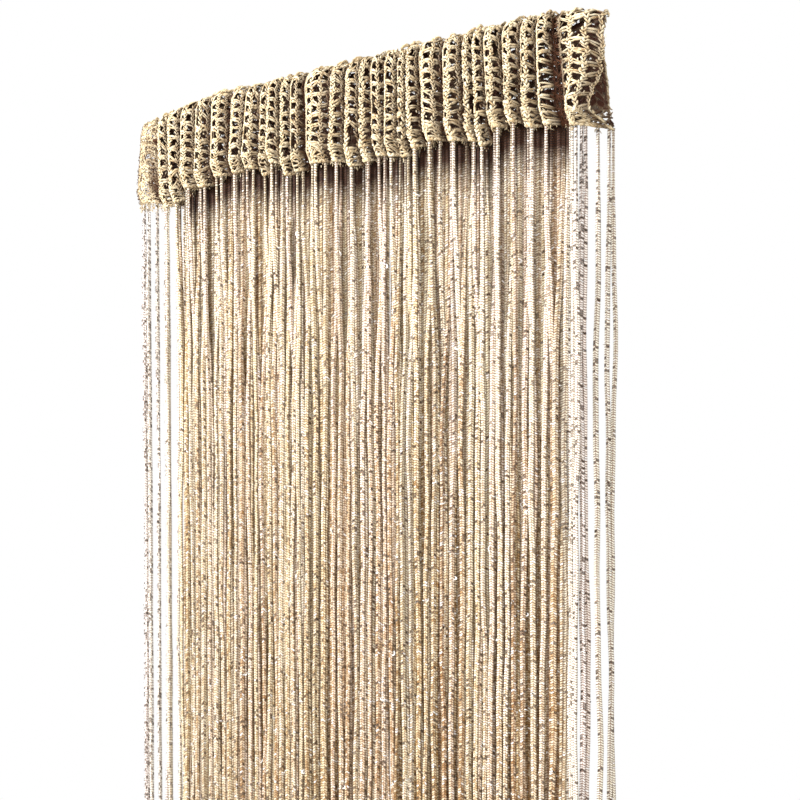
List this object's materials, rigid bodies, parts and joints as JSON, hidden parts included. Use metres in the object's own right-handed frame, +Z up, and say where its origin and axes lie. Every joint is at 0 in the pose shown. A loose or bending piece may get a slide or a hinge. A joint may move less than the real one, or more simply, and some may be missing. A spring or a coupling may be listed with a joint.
{
  "type": "string curtain",
  "caption": "String curtain: gathered net heading with a rod pocket, and a fringe of long flat knitted strings that hang close together.",
  "frame": {"origin": "middle of the heading's top edge, on the line from which the curtain hangs", "axes": "+Z up; X along the rod, with +X to the right as seen from the front; the front faces -Y"},
  "size_m": [0.5607, 0.0515, 2],
  "materials": {
    "net_yarn": "soft matt knitted polyester net in champagne beige",
    "string_yarn": "matt knitted polyester tape in champagne beige with a fine silver metallic thread"
  },
  "bodies": {
    "root": {"heading": "net_yarn", "string_fringe": "string_yarn"}
  },
  "joints": []
}
